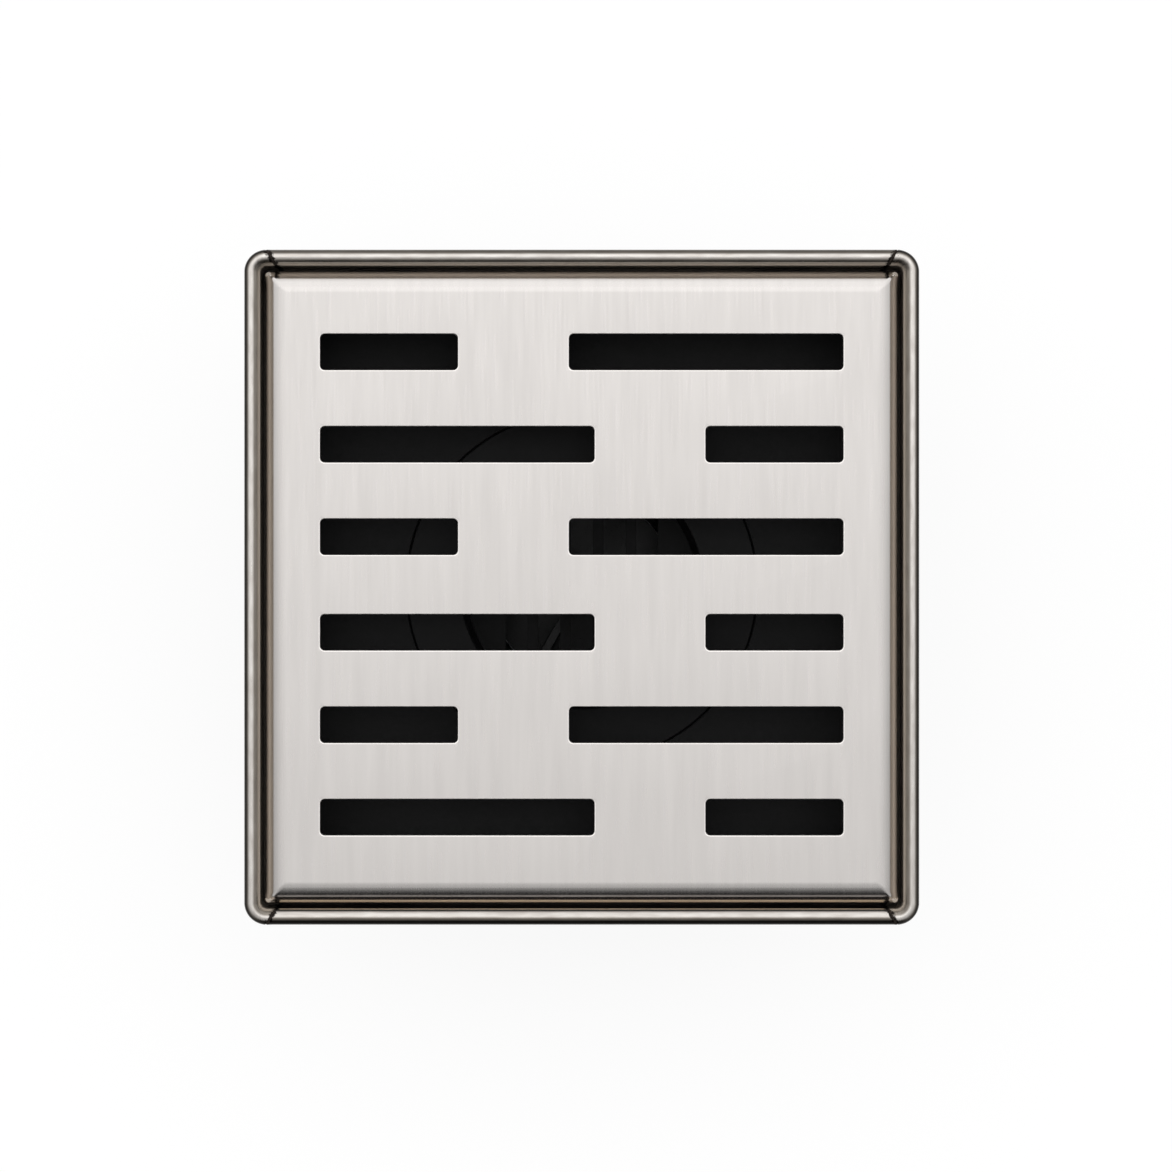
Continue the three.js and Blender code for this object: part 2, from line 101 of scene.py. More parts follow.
# The hemmed bead, and the sheets that the grate and the frame are folded from.
BEAD = 1.65
GRATE_SHEET = 1.5
FRAME_SHEET = 1.2

# Seen from above, each welded seam runs from the start of the corner's round to the ledge's corner.
SEAM_OUTER = Vector((RIM - ROUND, RIM, 0))
SEAM_INNER = Vector((RIM - LEDGE, RIM - LEDGE, 0))


# ---- Sizes and finishes that a user would change -----------------------------------------------


class DrainSizes(bpy.types.PropertyGroup):
    """Small sizes of the finished metal, which the frame leaves open."""

    slot_edge: FloatProperty(
        name="Slot edge", description="Rounding of the punched slot edge", default=0.3 * MM,
        min=0.05 * MM, max=0.5 * MM, unit="LENGTH", precision=5,
    )
    corner_flare: FloatProperty(
        name="Corner flare", description="How far a folded corner springs out", default=0.5 * MM,
        min=0, max=1 * MM, unit="LENGTH", precision=5,
    )
    weld_gap: FloatProperty(
        name="Weld gap", description="Width of the open weld groove at a frame corner",
        default=0.6 * MM, min=0.2 * MM, max=1 * MM, unit="LENGTH", precision=5,
    )
    round_steps: IntProperty(
        name="Round steps", description="Faces round a turned or moulded piece", default=96,
        min=48, max=160, subtype="UNSIGNED",
    )


class DrainFinishes(bpy.types.PropertyGroup):
    """Colours and gloss of the drain's materials."""

    steel: FloatVectorProperty(
        name="Brushed steel", description="Colour of the brushed grate", subtype="COLOR",
        default=linear("#d3cfcc"), min=0, max=1,
    )
    steel_roughness: FloatProperty(
        name="Brushed roughness", description="Roughness of the brushed grate", default=0.3,
        min=0, max=1, subtype="FACTOR",
    )
    # This colour paints the bright band across each bead, which is a painted highlight, and the
    # outer leaf.
    rim: FloatVectorProperty(
        name="Rim steel", description="Colour of the polished crest of the rim", subtype="COLOR",
        default=linear("#dcd8d3"), min=0, max=1,
    )
    skin: FloatVectorProperty(
        name="Mill skin", description="Colour of the steel that was never brushed",
        subtype="COLOR", default=linear("#a29b92"), min=0, max=1,
    )
    plastic: FloatVectorProperty(
        name="Black plastic", description="Colour of the riser and strainer", subtype="COLOR",
        default=linear("#131314"), min=0, max=1,
    )
    trap: FloatVectorProperty(
        name="Trap plastic", description="Colour of the moulded odour stop", subtype="COLOR",
        default=linear("#2b2c2d"), min=0, max=1,
    )
    rubber: FloatVectorProperty(
        name="Rubber", description="Colour of the pads, gasket and rings", subtype="COLOR",
        default=linear("#161514"), min=0, max=1,
    )
    silicone: FloatVectorProperty(
        name="Silicone", description="Colour of the plunger's washer", subtype="COLOR",
        default=linear("#8f9294"), min=0, max=1,
    )


class DrainStudio(bpy.types.PropertyGroup):
    """Camera, floor and light."""

    camera_height: FloatProperty(
        name="Camera height", description="Height of the camera above the grate", default=0.9,
        min=0.3, max=3, unit="LENGTH",
    )
    view_width: FloatProperty(
        name="View width", description="Width that the camera takes in at the grate",
        default=0.2599, min=0.1, max=1, unit="LENGTH",
    )
    floor_size: FloatProperty(
        name="Floor size", description="Side of the floor", default=12, min=1, max=40,
        unit="LENGTH",
    )
    sky: FloatProperty(
        name="Sky", description="Strength of the studio's surrounding light", default=1.58,
        min=0, max=5, subtype="UNSIGNED",
    )


# ---- Mesh tools --------------------------------------------------------------------------------


def on_ring(direction, half, corner, z):
    """A point of a rounded square: half its width, its corner radius and its height.
    With a corner as large as the half width it is a circle."""
    flat = half - corner
    sides = [0 if abs(d) < 1e-6 else math.copysign(1, d) for d in direction]
    return Vector((
        sides[0] * flat + corner * direction[0],
        sides[1] * flat + corner * direction[1],
        z,
    ))


def fresh(result, kind):
    """The new vertices, edges or faces of an operator's result."""
    return [g for g in result["geom"] if isinstance(g, kind)]


def next_ring(bm, edges):
    """Extrudes a ring of edges and returns the new ring's vertices and edges."""
    result = bmesh.ops.extrude_edge_only(bm, edges=edges)
    verts = fresh(result, bmesh.types.BMVert)
    ring = set(verts)
    return verts, [e for e in fresh(result, bmesh.types.BMEdge) if ring.issuperset(e.verts)]


def loft(bm, rings, closed=True):
    """Extrudes a ring of edges from one rounded square to the next."""
    steps = bpy.context.scene.drain_sizes.round_steps
    made = bmesh.ops.create_circle(bm, radius=1, segments=steps)
    direction = {v: v.co.normalized().xy for v in made["verts"]}
    edges = list({e for v in made["verts"] for e in v.link_edges})
    for v, d in direction.items():
        v.co = on_ring(d, *rings[0])
    for ring in rings[1:] + (rings[:1] if closed else []):
        old = {v.co.copy().freeze(): d for v, d in direction.items()}
        verts, edges = next_ring(bm, edges)
        direction = {v: old[v.co.copy().freeze()] for v in verts}
        for v, d in direction.items():
            v.co = on_ring(d, *ring)
    bmesh.ops.remove_doubles(bm, verts=bm.verts[:], dist=1e-4)


def turned(bm, profile, closed=True):
    """Spins a profile of radius and height round the upright axis."""
    verts = [bm.verts.new((r, 0, z)) for r, z in profile]
    pairs = list(zip(verts, verts[1:]))
    if closed:
        pairs.append((verts[-1], verts[0]))
    edges = [bm.edges.new(pair) for pair in pairs]
    bmesh.ops.spin(
        bm, geom=verts + edges, cent=(0, 0, 0), axis=(0, 0, 1), angle=2 * math.pi,
        steps=bpy.context.scene.drain_sizes.round_steps, use_merge=True, use_duplicate=False,
    )
    bmesh.ops.remove_doubles(bm, verts=bm.verts[:], dist=1e-4)


def arc(cx, cz, radius, start, end, steps):
    """Points of an arc in a profile, from one angle in degrees to another."""
    angles = [math.radians(start + (end - start) * i / steps) for i in range(steps + 1)]
    return [(cx + radius * math.cos(a), cz + radius * math.sin(a)) for a in angles]


def cuboid(bm, low, high, turn=0.0):
    """A box between two corners, turned about the upright axis."""
    size = [h - l for l, h in zip(low, high)]
    middle = [(h + l) / 2 for l, h in zip(low, high)]
    place = Matrix.Rotation(turn, 4, "Z") @ Matrix.Translation(middle)
    return bmesh.ops.create_cube(bm, size=1, matrix=place @ Matrix.Diagonal((*size, 1)))["verts"]


def cut(bm, point, normal, clear=False):
    """Cuts everything along a plane, and may clear what lies on the side of its normal."""
    geometry = bm.verts[:] + bm.edges[:] + bm.faces[:]
    return bmesh.ops.bisect_plane(
        bm, geom=geometry, plane_co=point, plane_no=normal, dist=1e-5, clear_outer=clear
    )["geom_cut"]


def bevel(bm, edges, offset, segments):
    """Rounds edges and returns the new faces."""
    result = bmesh.ops.bevel(
        bm, geom=edges, offset=offset, offset_type="OFFSET", segments=segments, profile=0.5,
        affect="EDGES", clamp_overlap=True, material=-1,
    )
    return result["faces"]


def pierce(bm, slots, thickness, corner):
    """Punches rounded slots (left, right, front, back) through a flat sheet and thickens it."""
    for left, right, front, back in slots:
        cut(bm, (left, 0, 0), (1, 0, 0))
        cut(bm, (right, 0, 0), (1, 0, 0))
        cut(bm, (0, front, 0), (0, 1, 0))
        cut(bm, (0, back, 0), (0, 1, 0))

    def punched(face):
        x, y, _ = face.calc_center_median()
        return any(l < x < r and f < y < b for l, r, f, b in slots)

    waste = [f for f in bm.faces if punched(f)]
    bmesh.ops.delete(bm, geom=waste, context="FACES")
    under = fresh(bmesh.ops.extrude_face_region(bm, geom=bm.faces[:]), bmesh.types.BMVert)
    bmesh.ops.translate(bm, verts=under, vec=(0, 0, -thickness))
    corners = {(round(x, 3), round(y, 3)) for l, r, f, b in slots for x in (l, r) for y in (f, b)}
    upright = []
    for e in bm.edges:
        a, b = (v.co for v in e.verts)
        if (a.xy - b.xy).length < 1e-4 and (round(a.x, 3), round(a.y, 3)) in corners:
            upright.append(e)
    bevel(bm, upright, corner, 5)


def slot_boxes(prefix, across, along):
    """The slots of a sheet, from the openings that run through them."""
    found = []
    for name, (low, high) in OPENINGS.items():
        if name.startswith(prefix):
            found.append((
                low[0] / MM - across, high[0] / MM + across,
                low[1] / MM - along, high[1] / MM + along,
            ))
    if not found:
        raise RuntimeError(f"the frame has no opening named {prefix}...")
    return found


def placed(bm, name):
    """The object of a bmesh in millimetres, in the scene at the origin."""
    bmesh.ops.scale(bm, verts=bm.verts[:], vec=(MM, MM, MM))
    mesh = bpy.data.meshes.new(name)
    bm.to_mesh(mesh)
    bm.free()
    if not mesh.polygons:
        raise RuntimeError(f"{name} has no faces")
    made = bpy.data.objects.new(name, mesh)
    bpy.context.scene.collection.objects.link(made)
    return made


def finish(bm, name, body, nodes, materials, angle=32, soften=0.0):
    """Makes the piece's object at the origin, shades it and gives it to its body."""
    bmesh.ops.remove_doubles(bm, verts=bm.verts[:], dist=1e-4)
    bmesh.ops.recalc_face_normals(bm, faces=bm.faces[:])
    piece = placed(bm, name)
    mesh = piece.data
    for material in materials:
        mesh.materials.append(material)
    mesh.shade_smooth()
    mesh.set_sharp_from_angle(angle=math.radians(angle))
    if soften:
        rounding = piece.modifiers.new("Edge rounding", "BEVEL")
        rounding.width = soften * MM
        rounding.segments = 2
        rounding.limit_method = "ANGLE"
        rounding.angle_limit = math.radians(angle)
        rounding.use_clamp_overlap = True
        rounding.harden_normals = True
    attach(piece, body)
    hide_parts(*nodes)
    return piece


# ---- Materials ---------------------------------------------------------------------------------


def add(tree, kind, links=None, stops=(), **settings):
    """Adds a node with its settings. For each input, links holds a value, or the socket or node
    that feeds it: a node gives its first output in use. Stops are the colours of a ramp."""
    made = tree.nodes.new(kind)
    for key, value in settings.items():
        setattr(made, key, value)
    for key, value in (links or {}).items():
        named = [s for s in made.inputs if s.name == key and s.enabled]
        socket = named[0] if named else made.inputs[key]
        if isinstance(value, bpy.types.Node):
            value = next(s for s in value.outputs if s.enabled)
        if isinstance(value, bpy.types.NodeSocket):
            tree.links.new(value, socket)
        else:
            socket.default_value = (*value, 1) if socket.type == "RGBA" else value
    while stops and len(made.color_ramp.elements) < len(stops):
        made.color_ramp.elements.new(0.5)
    for number, (place, colour) in enumerate(stops):
        made.color_ramp.elements[number].position = place
        made.color_ramp.elements[number].color = (*colour, 1)
    return made


def blank(name):
    """A material and its empty tree, or no tree when the material is already there."""
    if name in bpy.data.materials:
        return bpy.data.materials[name], None
    material = bpy.data.materials.new(name)
    material.use_nodes = True
    material.node_tree.nodes.clear()
    return material, material.node_tree


def pattern(tree, grain, low=0.0, high=1.0, detail=2.0, place=0.0):
    """Noise from low to high, with grains of so many millimetres along X, Y and Z."""
    where = add(tree, "ShaderNodeTexCoord").outputs["Object"]
    where = add(tree, "ShaderNodeMapping", {
        "Vector": where, "Scale": [1 / (size * MM) for size in grain], "Location": [place] * 3,
    })
    noise = add(tree, "ShaderNodeTexNoise", {"Vector": where, "Scale": 1.0, "Detail": detail})
    return add(tree, "ShaderNodeMapRange", {
        "Value": noise, "From Min": 0.3, "From Max": 0.7, "To Min": low, "To Max": high,
    })


def mottled(tree, grain, first, second, detail=2.0, place=0.0):
    """A colour that drifts between two, in grains of so many millimetres."""
    share = pattern(tree, grain, 0.0, 1.0, detail, place)
    return add(tree, "ShaderNodeMix", {"Factor": share, "A": first, "B": second},
               data_type="RGBA")


def shade(colour, by):
    """A colour made lighter or darker."""
    return tuple(min(1.0, c * by) for c in colour)


def surface(tree, **values):
    """The Principled surface and the material's output."""
    shader = add(tree, "ShaderNodeBsdfPrincipled", values)
    add(tree, "ShaderNodeOutputMaterial", {"Surface": shader})


def brushed_stainless():
    """304 stainless, belt-brushed front to back: fine straight lines and a soft long sheen."""
    material, tree = blank("stainless_304_belt_brushed")
    if tree:
        look = bpy.context.scene.drain_finishes
        steel = tuple(look.steel)
        # Grit lines are about 0.1 mm apart, and are drawn 0.5 mm apart so that they show.
        lines = pattern(tree, (0.5, 14, 14), detail=3)
        rough = add(tree, "ShaderNodeMapRange", {
            "Value": lines, "To Min": look.steel_roughness - 0.04,
            "To Max": look.steel_roughness + 0.05,
        })
        # The press has burnished the fold, so it mirrors more sharply than the flat.
        where = add(tree, "ShaderNodeTexCoord").outputs["Object"]
        size = add(tree, "ShaderNodeVectorMath", {0: where}, operation="ABSOLUTE")
        size = add(tree, "ShaderNodeSeparateXYZ", {"Vector": size})
        out = add(tree, "ShaderNodeMath", {0: size.outputs["X"], 1: size.outputs["Y"]},
                  operation="MAXIMUM")
        fold = {"Value": out, "From Min": 66 * MM, "From Max": 69 * MM}
        sharper = add(tree, "ShaderNodeMapRange", {**fold, "To Min": 1.0, "To Max": 0.5})
        rough = add(tree, "ShaderNodeMath", {0: rough, 1: sharper}, operation="MULTIPLY")
        smoother = add(tree, "ShaderNodeMapRange", {**fold, "To Min": 0.1, "To Max": 0.0})
        bump = add(tree, "ShaderNodeBump", {
            "Height": lines, "Strength": smoother, "Distance": 0.008 * MM,
        })
        colour = mottled(tree, (2.4, 32, 32), shade(steel, 0.97), shade(steel, 1.03), place=3.0)
        # The outer part of the fold is painted lighter than the steel: a painted highlight.
        edge = add(tree, "ShaderNodeMapRange", {
            "Value": out, "From Min": 68.6 * MM, "From Max": 69.4 * MM,
        })
        colour = add(tree, "ShaderNodeMix", {"Factor": edge, "A": colour, "B": shade(steel, 1.3)},
                     data_type="RGBA")
        surface(tree, **{
            "Base Color": colour, "Metallic": 1.0, "Roughness": rough, "Normal": bump,
        })
    return material


def burnished_edge_highlight():
    """The punched edge of a slot, burnished by the deburring wheel and painted lighter than the
    steel: a thin bright line that is partly a painted highlight.
    """
    material, tree = blank("stainless_304_burnished_edge")
    if tree:
        steel = tuple(bpy.context.scene.drain_finishes.steel)
        nicks = (0.9, 0.9, 0.9)
        surface(tree, **{
            "Base Color": mottled(tree, nicks, shade(steel, 1.3), shade(steel, 1.45)),
            "Metallic": 1.0, "Roughness": pattern(tree, nicks, 0.32, 0.46),
        })
    return material


def ground_corner_highlight():
    """The folded corner of the grate, dressed with a fine wheel: pale and nearly chalky, a colour
    that is partly a painted highlight.
    """
    material, tree = blank("stainless_304_ground_corner")
    if tree:
        marks = (0.3, 0.3, 0.3)
        surface(tree, **{
            "Base Color": mottled(tree, marks, linear("#efe8df"), linear("#fffaf2")),
            "Metallic": 0.5, "Roughness": pattern(tree, marks, 0.62, 0.75),
        })
    return material


def mill_skin():
    """Stainless as it leaves the rolls, never brushed: dull, faintly warm and cloudy."""
    material, tree = blank("stainless_304_mill_finish")
    if tree:
        skin = tuple(bpy.context.scene.drain_finishes.skin)
        cloud = (3, 3, 3)
        surface(tree, **{
            "Base Color": mottled(tree, cloud, shade(skin, 0.85), shade(skin, 1.1), 3),
            "Metallic": 1.0, "Roughness": pattern(tree, cloud, 0.36, 0.5, 3),
        })
    return material


# Tones across the bead of each rail, from the gap to the outer face: 0 is black, 1 the mill skin
# and 2 the crest colour. The bright band is a painted highlight and the dark outer band is painted
# shade, placed on each rail by which way it faces the light.
BEAD_LIGHT_AND_SHADE = {
    "side": ((0, 0.75), (0.28, 0.75), (0.42, 2), (0.62, 2), (0.74, 0.5), (0.84, 0.05)),
    "back": ((0, 1.1), (0.28, 1.1), (0.42, 2), (0.62, 2), (0.74, 0.5), (0.84, 0.3)),
    "front": ((0, 0.5), (0.1, 1.85), (0.38, 1.85), (0.52, 0.9), (0.66, 0.35), (0.8, 0.04)),
}
# Colours up the wall, by height in mm: painted shade darkens it downwards and on the ledge, and
# painted light brightens a band just below the top.
# On the front wall, the bright strip is a painted reflection, and the dark strips above and below
# it are painted shade.
SIDE_WALL_LIGHT_AND_SHADE = ((-13.2, "#5c564f"), (-12.6, "#857d74"), (-6.5, "#857d74"), (-4.2, "#cfc4b7"),
             (-2.8, "#e9dfd2"), (-1, "#a69b8d"))
WALL_LIGHT_AND_SHADE = {
    "side": SIDE_WALL_LIGHT_AND_SHADE,
    "back": SIDE_WALL_LIGHT_AND_SHADE,
    # Painted reflection between bands of painted shade.
    "front": ((-13.2, "#3a3530"), (-5.9, "#1c1815"), (-5.4, "#ffecd0"), (-3.3, "#ffecd0"),
              (-2.9, "#1c1815"), (-1, "#1c1815")),
}


def rim_stainless(place):
    """Folded stainless rim: across the bead, the bright band is a painted highlight and the dark
    outer band is painted shade, laid on the mill skin of both flanks for each rail by which way it
    faces the light, and the corners are stained by welding heat. The wall below was never polished,
    and its colours up the wall are painted light and shade."""
    material, tree = blank(f"stainless_304_rim_painted_light_{place}")
    if not tree:
        return material
    look = bpy.context.scene.drain_finishes
    skin, crest = Vector(look.skin), Vector(look.rim)
    where = add(tree, "ShaderNodeTexCoord").outputs["Object"]
    spot = add(tree, "ShaderNodeSeparateXYZ", {"Vector": where})
    size = add(tree, "ShaderNodeVectorMath", {0: where}, operation="ABSOLUTE")
    # The distance outwards from the middle of the corner's round follows the bead round it.
    centre = (ROUND - RIM) * MM
    reach = add(tree, "ShaderNodeVectorMath", {0: size, 1: (1, 1, 0), 2: (centre, centre, 0)},
                operation="MULTIPLY_ADD")
    reach = add(tree, "ShaderNodeVectorMath", {0: reach, 1: (0, 0, 0)}, operation="MAXIMUM")
    away = add(tree, "ShaderNodeVectorMath", {0: reach}, operation="LENGTH")
    share = add(tree, "ShaderNodeMapRange", {
        "Value": away, "From Min": 1.7 * MM, "From Max": ROUND * MM,
    })
    # The bead's bands are painted highlight and painted shade, different on each rail.
    bead = add(tree, "ShaderNodeValToRGB", {"Fac": share}, [
        (at, skin * tone if tone < 1 else skin.lerp(crest, tone - 1)) for at, tone in BEAD_LIGHT_AND_SHADE[place]
    ])
    along_x = place in ("front", "back")
    patches = mottled(tree, (5, 1, 1) if along_x else (1, 5, 1), (1, 1, 1), (0.78, 0.76, 0.75))
    bead = add(tree, "ShaderNodeMix", {"Factor": 1.0, "A": bead, "B": patches},
               data_type="RGBA", blend_type="MULTIPLY")
    # The colours up the wall are painted light and painted shade.
    depth = 16
    share = add(tree, "ShaderNodeMapRange", {"Value": spot.outputs["Z"], "From Min": -depth * MM,
                                             "From Max": 0.0})
    wall = add(tree, "ShaderNodeValToRGB", {"Fac": share}, [
        (1 + height / depth, linear(code)) for height, code in WALL_LIGHT_AND_SHADE[place]
    ])
    outside = add(tree, "ShaderNodeMapRange", {
        "Value": away, "From Min": 3.2 * MM, "From Max": 3.5 * MM,
    })
    above = add(tree, "ShaderNodeMapRange", {
        "Value": spot.outputs["Z"], "From Min": -1.1 * MM, "From Max": -0.6 * MM,
    })
    folded = add(tree, "ShaderNodeMath", {0: above, 1: outside}, operation="MAXIMUM")
    colour = add(tree, "ShaderNodeMix", {"Factor": folded, "A": wall, "B": bead},
                 data_type="RGBA")
    # The leaf that hangs down outside is as bright as the sheet came.
    below = add(tree, "ShaderNodeMapRange", {
        "Value": spot.outputs["Z"], "From Min": -1.25 * MM, "From Max": -0.95 * MM,
        "To Min": 1.0, "To Max": 0.0,
    })
    leaf = add(tree, "ShaderNodeMath", {0: outside, 1: below}, operation="MINIMUM")
    colour = add(tree, "ShaderNodeMix", {"Factor": leaf, "A": colour, "B": crest * 0.85},
                 data_type="RGBA")
    stain = heat_stain(tree, spot, size, reach, away)
    colour = add(tree, "ShaderNodeMix", {"Factor": stain, "A": colour, "B": linear("#1d1917")},
                 data_type="RGBA")
    lines = pattern(tree, (12, 0.45, 0.45) if along_x else (0.45, 12, 0.45), 0.26, 0.31)
    rough = add(tree, "ShaderNodeMix", {"Factor": folded, "A": 0.8, "B": lines},
                data_type="FLOAT")
    # The wall is scuffed every way and scaled by cleaning: it scatters more than it mirrors.
    metal = add(tree, "ShaderNodeMapRange", {"Value": folded, "To Min": 0.2, "To Max": 1.0})
    surface(tree, **{"Base Color": colour, "Metallic": metal, "Roughness": rough})
    return material


def heat_stain(tree, spot, size, reach, away):
    """How dark welding has left the rim: ragged along the seam, cloudy inside the corner, and
    stronger at the back than at the front."""
    grain = (0.7, 0.7, 0.7)
    along = (SEAM_OUTER - SEAM_INNER).normalized()
    across = Vector((along.y, -along.x, 0))
    line = add(tree, "ShaderNodeVectorMath", {0: size, 1: across}, operation="DOT_PRODUCT")
    line = add(tree, "ShaderNodeMath", {0: line, 1: SEAM_INNER.dot(across) * MM},
               operation="SUBTRACT")
    line = add(tree, "ShaderNodeMath", {0: line}, operation="ABSOLUTE")
    ragged = pattern(tree, grain, -0.5 * MM, 0.5 * MM, 3)
    line = add(tree, "ShaderNodeMath", {0: line, 1: ragged}, operation="ADD")
    seam = add(tree, "ShaderNodeMapRange", {
        "Value": line, "From Min": 0.35 * MM, "From Max": 0.7 * MM, "To Min": 0.97, "To Max": 0.0,
    })
    reach = add(tree, "ShaderNodeSeparateXYZ", {"Vector": reach})
    inside = add(tree, "ShaderNodeMath", {0: reach.outputs["X"], 1: reach.outputs["Y"]},
                 operation="MINIMUM")
    stain = add(tree, "ShaderNodeMapRange", {
        "Value": inside, "From Min": 0.0, "From Max": 1.6 * MM,
    })
    for share in (
        add(tree, "ShaderNodeMapRange", {"Value": away, "From Min": 2.4 * MM,
                                         "From Max": 3.4 * MM, "To Min": 1.0, "To Max": 0.0}),
        add(tree, "ShaderNodeMapRange", {"Value": spot.outputs["Y"], "From Min": -RIM * MM,
                                         "From Max": RIM * MM, "To Min": 0.3, "To Max": 1.0}),
        pattern(tree, grain, 0.4, 1.0, 3),
    ):
        stain = add(tree, "ShaderNodeMath", {0: stain, 1: share}, operation="MULTIPLY")
    return add(tree, "ShaderNodeMath", {0: stain, 1: seam}, operation="MAXIMUM")


def weld_steel():
    """Bare fusion weld, left undressed: oxidised nearly black with small rough ripples."""
    material, tree = blank("stainless_weld_oxidised")
    if tree:
        ripples = (0.3, 0.3, 0.3)
        bump = add(tree, "ShaderNodeBump", {
            "Height": pattern(tree, ripples, detail=3), "Distance": 0.04 * MM,
        })
        surface(tree, **{
            "Base Color": mottled(tree, ripples, linear("#141110"), linear("#433a33"), 3),
            "Metallic": 0.8, "Roughness": 0.6, "Normal": bump,
        })
    return material


def moulded(name, base, rough, grain, shine=1.45, gloss=0.5):
    """Injection-moulded plastic: an even spark-eroded grain with faint flow clouds."""
    material, tree = blank(name)
    if tree:
        skin = pattern(tree, (grain, grain, grain))
        bump = add(tree, "ShaderNodeBump", {
            "Height": skin, "Strength": 0.35, "Distance": 0.012 * MM,
        })
        rough = add(tree, "ShaderNodeMapRange", {
            "Value": skin, "To Min": rough - 0.06, "To Max": rough + 0.08,
        })
        surface(tree, **{
            "Base Color": mottled(tree, (9, 9, 9), shade(base, 0.85), shade(base, 1.2)),
            "Roughness": rough, "IOR": shine, "Specular IOR Level": gloss, "Normal": bump,
        })
    return material


def turned_stainless():
    """Cold-headed or drawn stainless, as on screws and springs: bright with fine marks."""
    material, tree = blank("stainless_A2_drawn")
    if tree:
        steel = tuple(bpy.context.scene.drain_finishes.steel)
        marks = (0.4, 0.4, 0.4)
        surface(tree, **{
            "Base Color": mottled(tree, marks, shade(steel, 0.8), shade(steel, 0.98)),
            "Metallic": 1.0, "Roughness": pattern(tree, marks, 0.22, 0.36),
        })
    return material


def riser_plastic():
    """ABS from a spark-eroded mould: black, and so finely grained that it hardly shines."""
    return moulded("abs_black_textured", tuple(bpy.context.scene.drain_finishes.plastic),
                   0.52, 0.4, 1.53, 0.2)


def strainer_plastic():
    """Moulded polypropylene: black, waxy and a little smoother than the riser."""
    return moulded("polypropylene_black_moulded", tuple(bpy.context.scene.drain_finishes.plastic),
                   0.46, 0.3, 1.49, 0.2)


def trap_plastic():
    """ABS from a polished mould: a charcoal satin that catches a soft light."""
    return moulded("abs_charcoal_satin", tuple(bpy.context.scene.drain_finishes.trap),
                   0.32, 0.25, 1.53)


def rubber():
    """Moulded EPDM rubber: nearly black and matt."""
    return moulded("epdm_rubber_moulded", tuple(bpy.context.scene.drain_finishes.rubber),
                   0.7, 0.3, 1.5)


def silicone():
    """Moulded silicone: pale grey with a soft, slightly greasy sheen."""
    return moulded("silicone_moulded", tuple(bpy.context.scene.drain_finishes.silicone),
                   0.55, 0.5, 1.41)


# ---- Pieces ------------------------------------------------------------------------------------


